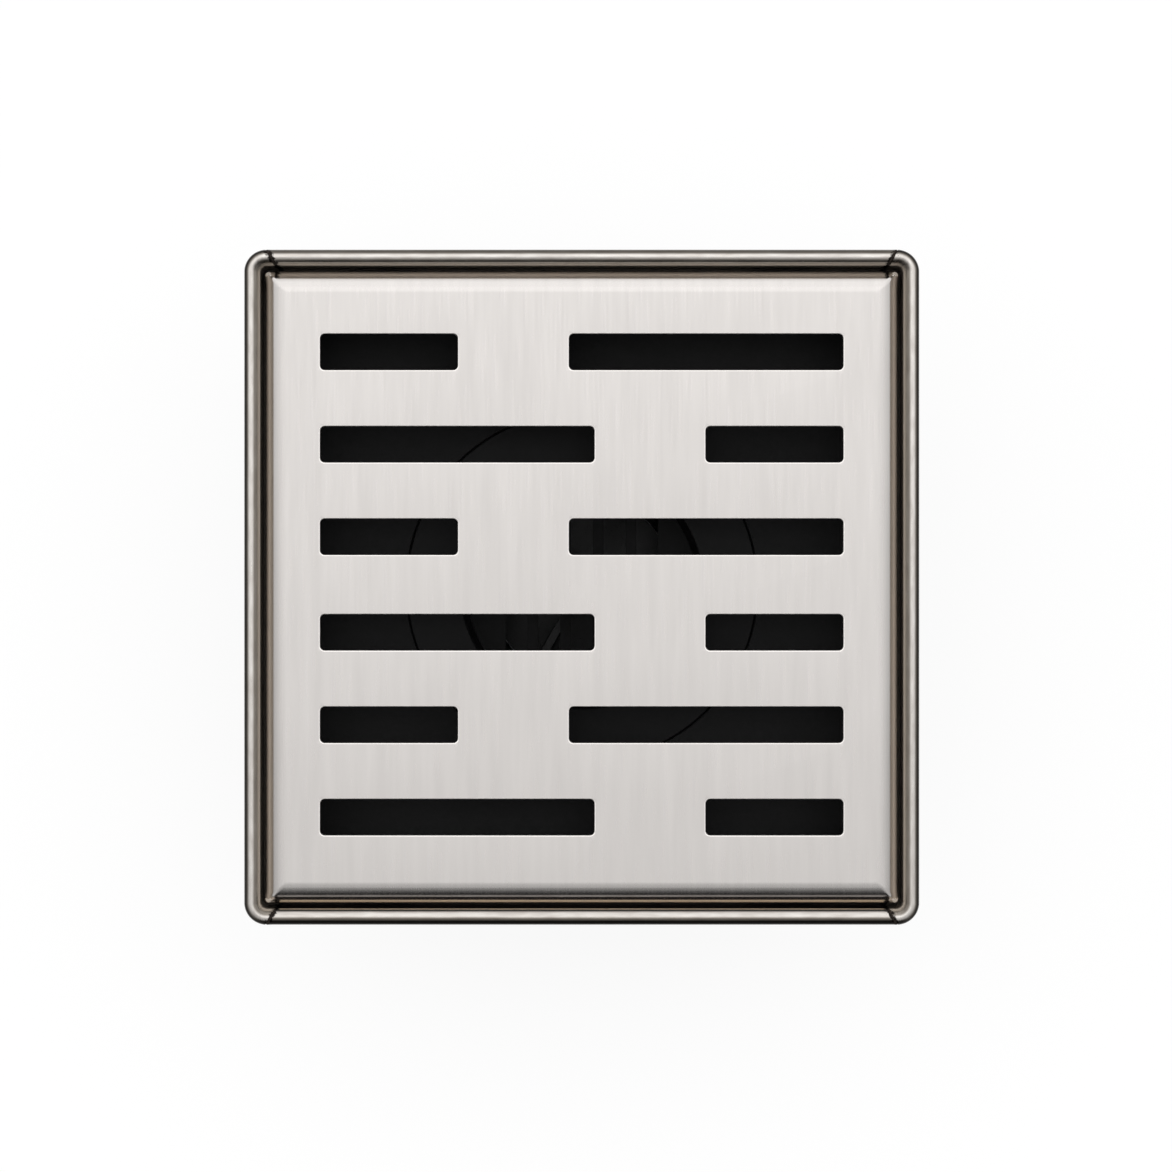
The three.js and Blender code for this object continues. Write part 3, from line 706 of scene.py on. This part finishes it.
class DRAIN_OT_grate(bpy.types.Operator):
    """Folds and punches the lift-out grate"""

    bl_idname = "drain.grate"
    bl_label = "Grate"

    def execute(self, context):
        sizes = context.scene.drain_sizes
        low, high = box_mm("grate_plate")
        half = high.x
        sheet, bend = GRATE_SHEET, 5
        flat, start = half - bend, 0.3
        bm = bmesh.new()
        bmesh.ops.create_grid(bm, x_segments=1, y_segments=1, size=flat)
        bmesh.ops.bevel(
            bm, geom=bm.verts[:], offset=start, offset_type="OFFSET", segments=4, profile=0.5,
            affect="VERTICES", clamp_overlap=True, material=-1,
        )
        pierce(bm, slot_boxes("slot_", 0.5, 0.5), sheet, 1)
        border = [
            f for f in bm.faces
            if abs(f.normal.z) < 0.5
            and max(abs(c) for c in f.calc_center_median().xy) > flat - start
        ]
        bmesh.ops.delete(bm, geom=border, context="FACES")
        edges = [e for e in bm.edges if e.is_boundary and all(v.co.z > -0.1 for v in e.verts)]
        profile = [(flat + bend * math.sin(a), bend * (math.cos(a) - 1))
                   for a in (math.pi / 2 * i / 12 for i in range(1, 13))]
        profile += [(half, low.z + 0.3), (half - 0.2, low.z), (half - sheet + 0.2, low.z)]
        profile += [(half - sheet, low.z + 0.3)]
        inner = bend - sheet
        profile += [(flat + inner * math.sin(a), inner * math.cos(a) - bend)
                    for a in (math.pi / 2 * i / 8 for i in range(8, -1, -1))]
        old_half, old_corner = flat, start
        for reach, z in profile:
            corner = start + 0.7 * (reach - flat) / bend
            verts, edges = next_ring(bm, edges)
            for v in verts:
                away = [abs(c) - (old_half - old_corner) for c in v.co.xy]
                signs = [math.copysign(1, c) for c in v.co.xy]
                if min(away) > -1e-4:
                    unit = Vector(away).normalized() if max(away) > 1e-6 else Vector((1, 0))
                    spot = [(reach - corner) + corner * u for u in unit]
                    v.co = (signs[0] * spot[0], signs[1] * spot[1], z)
                elif away[0] > away[1]:
                    v.co = (signs[0] * reach, v.co.y, z)
                else:
                    v.co = (v.co.x, signs[1] * reach, z)
            old_half, old_corner = reach, corner
        bmesh.ops.remove_doubles(bm, verts=bm.verts[:], dist=1e-3)
        # Folded corners spring out a little: extra cuts near the corner carry the flare.
        for place in (66.6, 67.8, 68.8, 69.6):
            for side in (-place, place):
                cut(bm, (0, side, 0), (0, 1, 0))
        for v in bm.verts:
            depth = min(1, max(0, -v.co.z / bend))
            near = min(1, max(0, (abs(v.co.y) - 66.6) / (half - 66.6)))
            if abs(v.co.x) > flat + inner * 0.5:
                v.co.x += math.copysign(sizes.corner_flare / MM * near**2 * depth, v.co.x)
        bmesh.ops.recalc_face_normals(bm, faces=bm.faces[:])
        rims = []
        for e in bm.edges:
            flat_edge = all(abs(v.co.z) < 1e-4 for v in e.verts)
            if flat_edge and any(abs(f.normal.z) < 0.1 for f in e.link_faces):
                rims.append(e)
        # The slot edges get the burnished steel, painted light as a highlight.
        for face in bevel(bm, rims, sizes.slot_edge / MM, 2):
            face.material_index = 1
        for face in bm.faces:
            x, y, z = face.calc_center_median()
            if face.normal.z < -0.5 and z < -1.2:
                face.material_index = 2
            # The folded corners get a near-white colour that is partly a painted highlight.
            elif min(abs(x), abs(y)) > half - 1.15 and -3.6 < z < -1:
                face.material_index = 3
        piece = finish(bm, "grate_pressing", "grate", ["grate_plate"],
                       [brushed_stainless(), burnished_edge_highlight(), mill_skin(), ground_corner_highlight()], 40)
        shading = piece.modifiers.new("Flat faces stay flat", "WEIGHTED_NORMAL")
        shading.keep_sharp = True
        return {"FINISHED"}


class DRAIN_OT_pads(bpy.types.Operator):
    """Clips the four rubber pads on the folded edge"""

    bl_idname = "drain.pads"
    bl_label = "Rubber pads"

    def execute(self, context):
        for number in range(1, 5):
            node = f"grate_pad_{number}"
            low, high = box_mm(node)
            edge = box_mm("grate_plate")[0].z
            bm = bmesh.new()
            cuboid(bm, low, (high.x, high.y, edge))
            side = 1 if low.y > 0 else -1
            outer = side * box_mm("grate_plate")[1].y
            near, far = sorted((outer, outer - side * GRATE_SHEET))
            cuboid(bm, (low.x, low.y, edge), (high.x, near, high.z))
            cuboid(bm, (low.x, far, edge), (high.x, high.y, high.z))
            finish(bm, f"pad_{number}", "grate", [node], [rubber()], 30, 0.35)
        return {"FINISHED"}


def frame_profile():
    """The folded section of the frame: hemmed bead, wall, and a ledge turned inwards."""
    high = RIM
    ledge = box_mm("frame_rail_right")[0].z
    hem, bend = -7, 0.6
    middle = high - BEAD
    slit = BEAD - FRAME_SHEET
    turn = high - 2 * BEAD - bend
    centre = ledge + FRAME_SHEET + bend
    edge = high - LEDGE
    points = [(high, hem)]
    points += arc(middle, -BEAD, BEAD, 0, 180, 20)
    points += arc(turn, centre, bend, 0, -90, 4)
    points += [(edge, ledge + FRAME_SHEET), (edge, ledge)]
    points += arc(turn, centre, bend + FRAME_SHEET, -90, 0, 5)
    points += arc(middle, -BEAD, slit, 180, 0, 5)
    points += [(high - FRAME_SHEET, hem)]
    return points


def rail_mesh(planes):
    """The whole frame, cut down to one rail by planes (point, normal)."""
    bm = bmesh.new()
    centre = RIM - ROUND
    loft(bm, [(d, max(d - centre, 0.02), z) for d, z in frame_profile()])
    for point, normal in planes:
        made = cut(bm, point, normal, True)
        rim = [g for g in made if isinstance(g, bmesh.types.BMEdge)]
        bmesh.ops.holes_fill(bm, edges=rim, sides=0)
    bmesh.ops.recalc_face_normals(bm, faces=bm.faces[:])
    return bm


def seam_plane(side_x, side_y, gap, keep_side):
    """The plane of a welded corner seam, moved aside by half the groove."""
    outer, inner = (Vector((side_x * p.x, side_y * p.y, 0)) for p in (SEAM_OUTER, SEAM_INNER))
    normal = (inner - outer).cross(Vector((0, 0, 1))).normalized()
    if normal.x * side_x > 0:
        normal = -normal
    # The normal now points away from the side rail, so it clears the other rail.
    if keep_side:
        return outer - normal * gap / 2, normal
    return outer + normal * gap / 2, -normal


class DRAIN_OT_rails(bpy.types.Operator):
    """Folds the four frame rails and leaves the weld groove between them"""

    bl_idname = "drain.rails"
    bl_label = "Frame rails"

    def execute(self, context):
        gap = context.scene.drain_sizes.weld_gap / MM
        for name, side in (("left", -1), ("right", 1)):
            planes = [seam_plane(side, 1, gap, True), seam_plane(side, -1, gap, True)]
            self.countersink(self.rail(name, planes, "side"), side)
        for name, side in (("front", -1), ("back", 1)):
            planes = [seam_plane(-1, side, gap, False), seam_plane(1, side, gap, False)]
            planes.append(((0, 0, 0), (0, -side, 0)))
            self.rail(name, planes, name)
        return {"FINISHED"}

    def rail(self, name, planes, place):
        """One rail, cut from the frame by its planes and finished with the painted light and shade
        of that place.
        """
        return finish(rail_mesh(planes), f"rail_{name}", "root",
                      [f"frame_rail_{name}"], [rim_stainless(place)], 30)

    def countersink(self, piece, side):
        """Cuts the screw holes through the ledge with the heads' own cone."""
        bm = bmesh.new()
        for number in range(1, 5):
            low, high = box_mm(f"frame_screw_{number}")
            middle = (low + high) / 2
            if middle.x * side < 0:
                continue
            part = bmesh.new()
            turned(part, [(0, 1), (3.8, 1), (3.8, 0), (2.05, -1.75), (2.05, -5), (0, -5)], False)
            bmesh.ops.translate(part, verts=part.verts[:], vec=(middle.x, middle.y, high.z))
            mesh = bpy.data.meshes.new("cutter_part")
            part.to_mesh(mesh)
            part.free()
            bm.from_mesh(mesh)
            bpy.data.meshes.remove(mesh)
        bmesh.ops.recalc_face_normals(bm, faces=bm.faces[:])
        cutter = placed(bm, "cutter")
        hole = piece.modifiers.new("Countersinks", "BOOLEAN")
        hole.operation = "DIFFERENCE"
        hole.solver = "EXACT"
        hole.object = cutter
        graph = bpy.context.evaluated_depsgraph_get()
        cutout = bpy.data.meshes.new_from_object(piece.evaluated_get(graph))
        piece.modifiers.clear()
        piece.data = cutout
        cutout.shade_smooth()
        cutout.set_sharp_from_angle(angle=math.radians(30))
        bpy.data.objects.remove(cutter)
        if not cutout.polygons:
            raise RuntimeError("the countersinks took the whole rail away")


class DRAIN_OT_welds(bpy.types.Operator):
    """Lays a row of weld ripples in each corner seam"""

    bl_idname = "drain.welds"
    bl_label = "Corner welds"

    def execute(self, context):
        ripples = 14
        for side_x in (-1, 1):
            for side_y in (-1, 1):
                dice = random.Random(7 + side_x + 3 * side_y)
                bm = bmesh.new()
                for i in range(ripples):
                    reach = RIM - 3.15 + 3.0 * i / (ripples - 1)
                    share = (RIM - reach) / LEDGE
                    x = SEAM_OUTER.x + (SEAM_INNER.x - SEAM_OUTER.x) * share
                    rise = math.sqrt(max(0, BEAD**2 - (reach - RIM + BEAD) ** 2)) - BEAD
                    radius = dice.uniform(0.30, 0.48)
                    across = min(reach, RIM - 0.05 - radius)
                    spot = Vector((side_x * (x + dice.uniform(-0.08, 0.08)), side_y * across,
                                   rise - radius - 0.03))
                    bmesh.ops.create_icosphere(
                        bm, subdivisions=2, radius=radius, matrix=Matrix.Translation(spot))
                self.close_groove(bm, side_x, side_y)
                name = ("front" if side_y < 0 else "back") + ("_left" if side_x < 0 else "_right")
                rail = "left" if side_x < 0 else "right"
                finish(bm, f"weld_{name}", "root", [f"frame_rail_{rail}"],
                       [weld_steel()], 60)
        return {"FINISHED"}

    def close_groove(self, bm, side_x, side_y):
        """Fills the groove below the ripples, inside the sheet of the leaf and of the wall."""
        wide, top = 0.8, -1.7
        for near, far, foot in ((74.0, 74.8, -6.9), (71.9, 72.7, -14.9)):
            share = (RIM - (near + far) / 2) / LEDGE
            x = SEAM_OUTER.x + (SEAM_INNER.x - SEAM_OUTER.x) * share
            left, right = sorted((side_x * (x - wide / 2), side_x * (x + wide / 2)))
            front, back = sorted((side_y * near, side_y * far))
            cuboid(bm, (left, front, foot), (right, back, top))


class DRAIN_OT_fasteners(bpy.types.Operator):
    """Makes the countersunk socket screws and the gasket"""

    bl_idname = "drain.fasteners"
    bl_label = "Screws and gasket"

    def execute(self, context):
        head, shank, key, socket = 3.7, 1.95, 2.5, 1.3
        for number in range(1, 5):
            node = f"frame_screw_{number}"
            low, high = box_mm(node)
            middle = (low + high) / 2
            bm = bmesh.new()
            rim = bmesh.ops.create_circle(bm, radius=head - 0.1, segments=48)["verts"]
            hexagon = bmesh.ops.create_circle(
                bm, radius=key / 2 / math.cos(math.pi / 6), segments=6)["verts"]
            rings = [list({e for v in ring for e in v.link_edges}) for ring in (rim, hexagon)]
            bmesh.ops.bridge_loops(bm, edges=rings[0] + rings[1])
            deep, _ = next_ring(bm, rings[1])
            bmesh.ops.translate(bm, verts=deep, vec=(0, 0, -socket))
            bmesh.ops.contextual_create(bm, geom=deep)
            edges = rings[0]
            for radius, z in ((head, -0.12), (shank, -1.85), (shank, -11), (0.7, -12)):
                verts, edges = next_ring(bm, edges)
                for v in verts:
                    flat = v.co.xy.normalized() * radius
                    v.co = (flat.x, flat.y, z)
            bmesh.ops.contextual_create(bm, geom=edges)
            bmesh.ops.translate(bm, verts=bm.verts[:], vec=(middle.x, middle.y, high.z))
            finish(bm, f"screw_{number}", "root", [node], [turned_stainless()])
        low, high = box_mm("frame_gasket")
        bm = bmesh.new()
        loft(bm, [(high.x, 2.3, high.z), (high.x, 2.3, low.z), (63.6, 0.5, low.z),
                  (63.6, 0.5, high.z)])
        finish(bm, "gasket", "root", ["frame_gasket"], [rubber()], 30, 0.15)
        return {"FINISHED"}


class DRAIN_OT_riser(bpy.types.Operator):
    """Moulds the riser with its basin, spigot, ribs and bosses, and the lip seal on it"""

    bl_idname = "drain.riser"
    bl_label = "Riser"

    def execute(self, context):
        low, high = box_mm("riser")
        half, foot = high.x, low.z
        bore, spigot, groove = 34.5, 37.5, 36.0
        tub, boss, seat, recess = 62.5, 43, 40, 37.2
        flange, tub_foot, boss_foot, seat_foot, recess_foot = -19.2, -24.1, -29.3, -24.5, -26.8
        basin, basin_top, groove_top, groove_foot = 60, -16.2, -61.8, -65.8
        bm = bmesh.new()
        loft(bm, [
            (half - 1.2, 3.2, high.z), (half, 4.4, high.z), (half, 4.4, flange),
            (tub, 8.5, flange), (tub, 8.5, tub_foot), (boss, boss, -25),
            (boss, boss, boss_foot), (spigot, spigot, boss_foot),
            (spigot, spigot, groove_top), (groove, groove, groove_top),
            (groove, groove, groove_foot), (spigot, spigot, groove_foot),
            (spigot, spigot, foot + 1), (spigot - 0.8, spigot - 0.8, foot),
            (bore, bore, foot), (bore, bore, recess_foot), (recess, recess, recess_foot),
            (recess, recess, seat_foot), (seat, seat, seat_foot), (seat, seat, -22.5),
            (basin, 6, -21.5), (basin, 6, basin_top), (half - 1.2, 3.2, basin_top),
        ])
        # Each rib is a gusset: it starts inside the spigot's wall, below the throat's recess.
        inner, ribs, thick = 36.9, 8, 2
        gusset = [(inner, -27.5), (41.5, -27.5), (41.5, -23.5), (basin, -23.5), (basin, -25.3),
                  (spigot, -39.8), (inner, -39.8)]
        for i in range(ribs):
            turn = Matrix.Rotation(2 * math.pi * (i + 0.5) / ribs, 4, "Z")
            near = [bm.verts.new(turn @ Vector((r, -thick / 2, z))) for r, z in gusset]
            side = bm.faces.new(near)
            rib = fresh(bmesh.ops.extrude_face_region(bm, geom=[side]), bmesh.types.BMVert)
            bmesh.ops.translate(bm, verts=rib, vec=turn @ Vector((0, thick, 0)))
        for number in range(1, 5):
            a, b = box_mm(f"frame_screw_{number}")
            middle = (a + b) / 2
            # The screw's boss tapers downwards, as it has to leave the mould.
            place = Matrix.Translation((middle.x, middle.y, -23.6))
            bmesh.ops.create_cone(bm, cap_ends=True, segments=40, radius1=3.9, radius2=4.1,
                                  depth=9, matrix=place)
        finish(bm, "riser_moulding", "root", ["riser"], [riser_plastic()], 32,
               0.3)
        bm = bmesh.new()
        lip = box_mm("spigot_seal")[1].x
        turned(bm, [
            (groove, -65.7), (37.9, -65.7), (lip, -64.9), (lip - 0.2, -64.6), (37.9, -64.7),
            (37.9, -63.6), (lip, -62.9), (lip - 0.2, -62.6), (37.9, -62.6), (37.9, -61.9),
            (groove, -61.9),
        ])
        finish(bm, "lip_seal", "root", ["spigot_seal"], [rubber()], 30)
        return {"FINISHED"}


class DRAIN_OT_strainer(bpy.types.Operator):
    """Moulds the slotted strainer basket with its lifting knob"""

    bl_idname = "drain.strainer"
    bl_label = "Strainer"

    def execute(self, context):
        low, high = box_mm("strainer_basket")
        top, bottom, flange = high.z, low.z, high.x + 0.3
        wall, knob, neck = 1.6, 5.5, 3.2
        outside, inside = 29.16, 27.56
        floor = bottom + wall
        bm = bmesh.new()
        # The floor stops short of the wall's root, which closes over its edge.
        bmesh.ops.create_circle(bm, cap_ends=True, radius=inside - 0.9,
                                segments=context.scene.drain_sizes.round_steps)
        pierce(bm, slot_boxes("strainer_slot_", 0.2, 0.45), wall, 1)
        bmesh.ops.translate(bm, verts=bm.verts[:], vec=(0, 0, floor))
        turned(bm, [
            (inside - 1.0, floor), (inside, top - 0.3), (inside + 0.3, top), (flange - 0.3, top),
            (flange, top - 0.3), (flange, top - 2), (outside, top - 2), (outside - 1, bottom),
            (inside - 1.0, bottom),
        ])
        turned(bm, [
            (0, floor), (neck + 1.5, floor), (neck + 0.5, floor + 0.5), (neck, floor + 1.5),
            (neck, top - 3.2), (knob, top - 1.6), (knob, top - 0.4), (knob - 0.4, top), (0, top),
        ], False)
        finish(bm, "strainer", "strainer", ["strainer_basket"],
               [strainer_plastic()], 32)
        return {"FINISHED"}


class DRAIN_OT_trap(bpy.types.Operator):
    """Makes the odour stop: housing, ring, plunger, seal, cap and spring"""

    bl_idname = "drain.trap"
    bl_label = "Odour stop"

    def execute(self, context):
        low, high = box_mm("trap_housing")
        top, foot, flange = high.z, low.z, high.x
        body, inside, rib = 32.16, 30.16, 33.8
        bm = bmesh.new()
        turned(bm, [
            (inside, top), (flange - 0.3, top), (flange, top - 0.3), (flange, top - 2),
            (rib, top - 2), (rib, -31.05), (body, -31.05), (body, -33.25), (rib, -33.25),
            (rib, -35), (body, -35), (body, -50), (26.96, foot + 0.5), (26.96, foot),
            (21.96, foot), (21.96, foot + 2), (inside, -50),
        ])
        turned(bm, [(2.1, -54.5), (5, -54.5), (5, -51.5), (2.1, -51.5)])
        for i in range(3):
            cuboid(bm, (4, -1, -54.5), (25, 1, -51.8), 2 * math.pi * i / 3)
        finish(bm, "trap_body", "root", ["trap_housing"], [trap_plastic()], 32,
               0.15)
        bm = bmesh.new()
        turned(bm, arc(33.33, -32.15, 1.05, 0, 342, 19))
        finish(bm, "trap_o_ring", "root", ["trap_ring"], [rubber()])
        low, high = box_mm("trap_plunger")
        bm = bmesh.new()
        plate = high.x
        turned(bm, [
            (0, low.z), (plate - 0.3, low.z), (plate, low.z + 0.3), (plate, -59.6),
            (21.56, -59.6), (21.56, -58.6), (8, -58.2), (3.4, -57.4), (2, -56.2), (2, high.z),
            (0, high.z),
        ], False)
        finish(bm, "plunger", "plunger", ["trap_plunger"], [trap_plastic()])
        low, high = box_mm("plunger_seal")
        bm = bmesh.new()
        turned(bm, [(21.76, low.z), (high.x, low.z), (high.x, high.z - 0.3),
                    (high.x - 0.3, high.z), (21.76, high.z)])
        finish(bm, "plunger_washer", "plunger", ["plunger_seal"], [silicone()])
        low, high = box_mm("stem_cap")
        bm = bmesh.new()
        turned(bm, [(0, low.z + 0.4), (high.x, low.z), (high.x, high.z - 0.6),
                    (high.x - 0.6, high.z), (0, high.z)], False)
        finish(bm, "plunger_cap", "plunger", ["stem_cap"], [trap_plastic()])
        self.spring()
        return {"FINISHED"}

    def spring(self):
        """Winds the spring with a spin that climbs at each step."""
        low, high = box_mm("trap_spring")
        wire, turns, steps = 0.5, 5, 32
        bm = bmesh.new()
        place = Matrix.Translation((high.x - wire, 0, low.z + wire)) @ Matrix.Rotation(
            math.pi / 2, 4, "X")
        ring = bmesh.ops.create_circle(bm, cap_ends=False, radius=wire, segments=12,
                                       matrix=place)["verts"]
        edges = list({e for v in ring for e in v.link_edges})
        climb = (high.z - low.z - 2 * wire) / (turns * steps)
        bmesh.ops.spin(
            bm, geom=ring + edges, cent=(0, 0, 0), axis=(0, 0, 1), dvec=(0, 0, climb),
            angle=2 * math.pi * turns, steps=turns * steps, use_merge=False,
            use_duplicate=False,
        )
        ends = [e for e in bm.edges if e.is_boundary]
        bmesh.ops.holes_fill(bm, edges=ends, sides=0)
        piece = finish(bm, "spring", "root", ["trap_spring"],
                       [turned_stainless()], 60)
        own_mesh(piece)


class DRAIN_OT_stage(bpy.types.Operator):
    """Sets up the floor, the soft surrounding light and the camera"""

    bl_idname = "drain.stage"
    bl_label = "Stage"

    def execute(self, context):
        scene, studio = context.scene, context.scene.drain_studio
        scene.view_settings.view_transform = "Standard"
        self.floor(studio)
        self.light(scene, studio)
        lens = bpy.data.cameras.new("camera")
        lens.sensor_width = 36
        lens.lens = 36 * studio.camera_height / studio.view_width
        lens.clip_end = 50
        camera = bpy.data.objects.new("camera", lens)
        camera.location = (0.95 * MM, 0.27 * MM, studio.camera_height)
        scene.collection.objects.link(camera)
        scene.camera = camera
        return {"FINISHED"}

    def floor(self, studio):
        """A plain floor that lights the drain dimly and is seen nearly white."""
        bm = bmesh.new()
        bmesh.ops.create_grid(bm, x_segments=1, y_segments=1, size=studio.floor_size / MM / 2)
        bmesh.ops.translate(bm, verts=bm.verts[:], vec=(0, 0, CAD_BOX[0].z / MM))
        floor = placed(bm, "floor")
        material, tree = blank("floor_paper")
        path = add(tree, "ShaderNodeLightPath").outputs
        seen = path["Is Camera Ray"]
        for ray in ("Is Glossy Ray", "Is Transmission Ray"):
            seen = add(tree, "ShaderNodeMath", {0: seen, 1: path[ray]}, operation="MAXIMUM")
        glow = add(tree, "ShaderNodeMath", {0: seen, 1: 0.87}, operation="MULTIPLY")
        surface(tree, **{
            "Base Color": (0.16, 0.16, 0.16), "Roughness": 0.9, "Specular IOR Level": 0.0,
            "Emission Color": (1, 1, 1), "Emission Strength": glow,
        })
        floor.data.materials.append(material)

    def light(self, scene, studio):
        """A soft room that is brightest overhead and behind, and dark in front."""
        world = bpy.data.worlds.new("studio")
        world.use_nodes = True
        scene.world = world
        tree = world.node_tree
        tree.nodes.clear()
        ray = add(tree, "ShaderNodeTexCoord").outputs["Generated"]
        parts = add(tree, "ShaderNodeSeparateXYZ", {"Vector": ray})
        share = add(tree, "ShaderNodeMapRange", {"Value": parts.outputs["Y"], "From Min": -1.0})
        levels = ((-0.93, 0.02), (-0.76, 0.05), (-0.66, 0.27), (-0.45, 0.34), (-0.22, 0.42),
                  (-0.07, 0.54), (0.06, 0.83), (0.16, 1.0), (0.4, 0.89), (0.9, 0.81),
                  (1.0, 0.7))
        front_to_back = add(tree, "ShaderNodeValToRGB", {"Fac": share}, [
            ((place + 1) / 2, [level] * 3) for place, level in levels
        ])
        # The room is dimmer at its sides than overhead.
        side = add(tree, "ShaderNodeMath", {0: parts.outputs["X"], 1: 2.0}, operation="POWER")
        strength = add(tree, "ShaderNodeMapRange", {
            "Value": side, "To Min": studio.sky, "To Max": studio.sky * 0.6,
        })
        # Only the middle of the front is dark: screens stand on either side of it.
        screens = add(tree, "ShaderNodeMapRange", {
            "Value": side, "From Min": 0.10, "From Max": 0.36, "To Max": 0.5,
        })
        tone = add(tree, "ShaderNodeMath", {0: front_to_back, 1: screens}, operation="MAXIMUM")
        sky = add(tree, "ShaderNodeBackground", {"Color": tone, "Strength": strength})
        add(tree, "ShaderNodeOutputWorld", {"Surface": sky})


PIECES = (
    DRAIN_OT_stage, DRAIN_OT_grate, DRAIN_OT_pads, DRAIN_OT_rails, DRAIN_OT_welds,
    DRAIN_OT_fasteners, DRAIN_OT_riser, DRAIN_OT_strainer, DRAIN_OT_trap,
)


class DRAIN_PT_panel(bpy.types.Panel):
    """Lists the drain's pieces, sizes and finishes"""

    bl_idname = "DRAIN_PT_panel"
    bl_label = "Floor drain grate"
    bl_space_type = "VIEW_3D"
    bl_region_type = "UI"
    bl_category = "Drain"

    def draw(self, context):
        layout = self.layout
        for operator in PIECES:
            layout.operator(operator.bl_idname)
        for group in ("drain_sizes", "drain_finishes", "drain_studio"):
            values = getattr(context.scene, group)
            for name in values.__annotations__:
                layout.prop(values, name)


GROUPS = (("drain_sizes", DrainSizes), ("drain_finishes", DrainFinishes),
          ("drain_studio", DrainStudio))


def register():
    for _, group in GROUPS:
        bpy.utils.register_class(group)
    for name, group in GROUPS:
        setattr(bpy.types.Scene, name, PointerProperty(type=group))
    for item in PIECES + (DRAIN_PT_panel,):
        bpy.utils.register_class(item)


def unregister():
    for item in reversed(PIECES + (DRAIN_PT_panel,)):
        bpy.utils.unregister_class(item)
    for name, group in reversed(GROUPS):
        delattr(bpy.types.Scene, name)
        bpy.utils.unregister_class(group)


def main():
    register()
    for operator in PIECES:
        family, call = operator.bl_idname.split(".")
        getattr(getattr(bpy.ops, family), call)()


if __name__ == "__main__":
    main()
